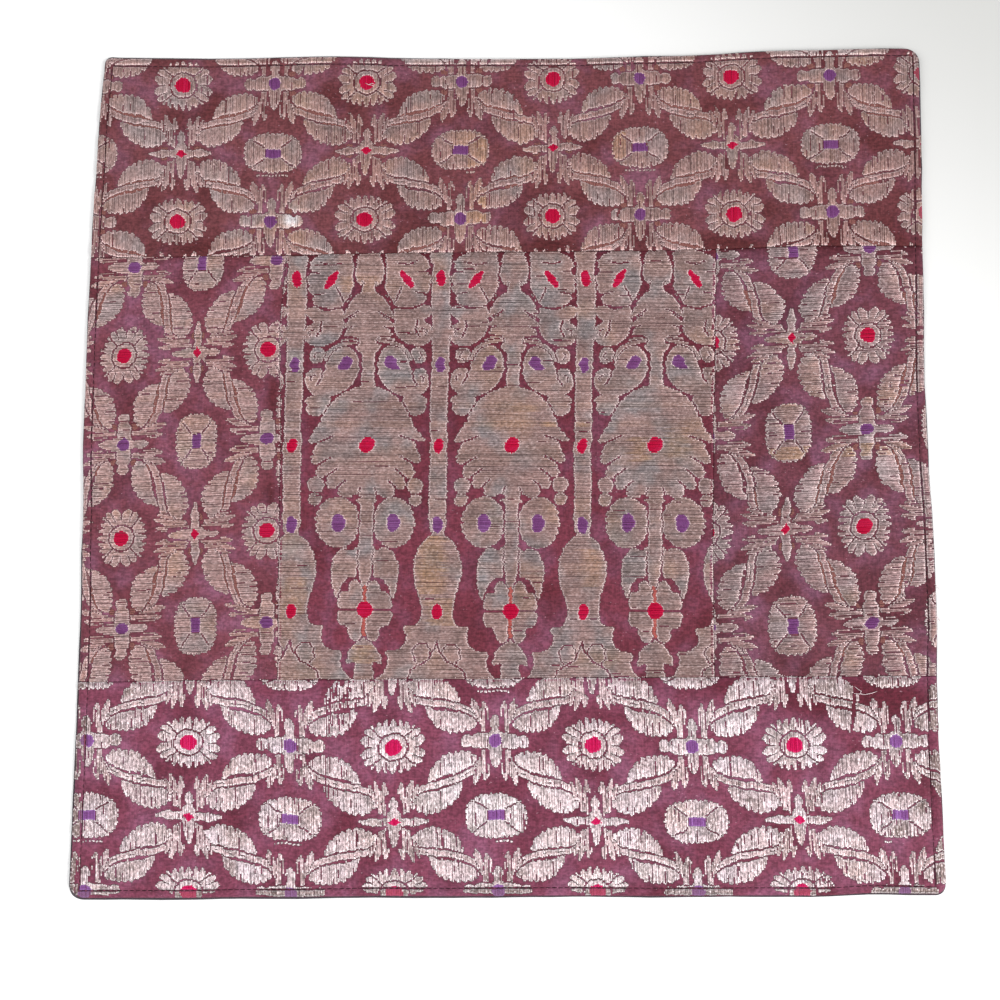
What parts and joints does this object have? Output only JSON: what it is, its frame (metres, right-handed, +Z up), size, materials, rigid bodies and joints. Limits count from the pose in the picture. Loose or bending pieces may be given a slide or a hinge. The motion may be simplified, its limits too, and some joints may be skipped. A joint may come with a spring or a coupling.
{
  "type": "pillow sham",
  "caption": "Empty square pillow sham lying flat, a patchwork front of metallic brocade borders round a centre panel, on a plain dark back.",
  "frame": {"origin": "under the middle of the flat cover, on the surface that it lies on", "axes": "+Z up out of the brocade front, +Y to the top border, +X to the right border as the front is looked down on"},
  "size_m": [0.4108, 0.4147, 0.0039],
  "materials": {
    "border_brocade": "plum silk ground covered with tarnished silver and gold floats, soft metallic sheen",
    "side_brocade": "plum silk ground covered with tarnished silver floats, soft metallic sheen",
    "centre_brocade": "wine silk ground with metallic palmettes, soft metallic sheen",
    "back_cloth": "plain dark cotton, matt"
  },
  "bodies": {
    "root": {"front_top_border": "border_brocade", "front_bottom_border": "border_brocade", "front_left_border": "side_brocade", "front_right_border": "side_brocade", "front_centre_panel": "centre_brocade", "back_panel": "back_cloth"}
  },
  "joints": []
}
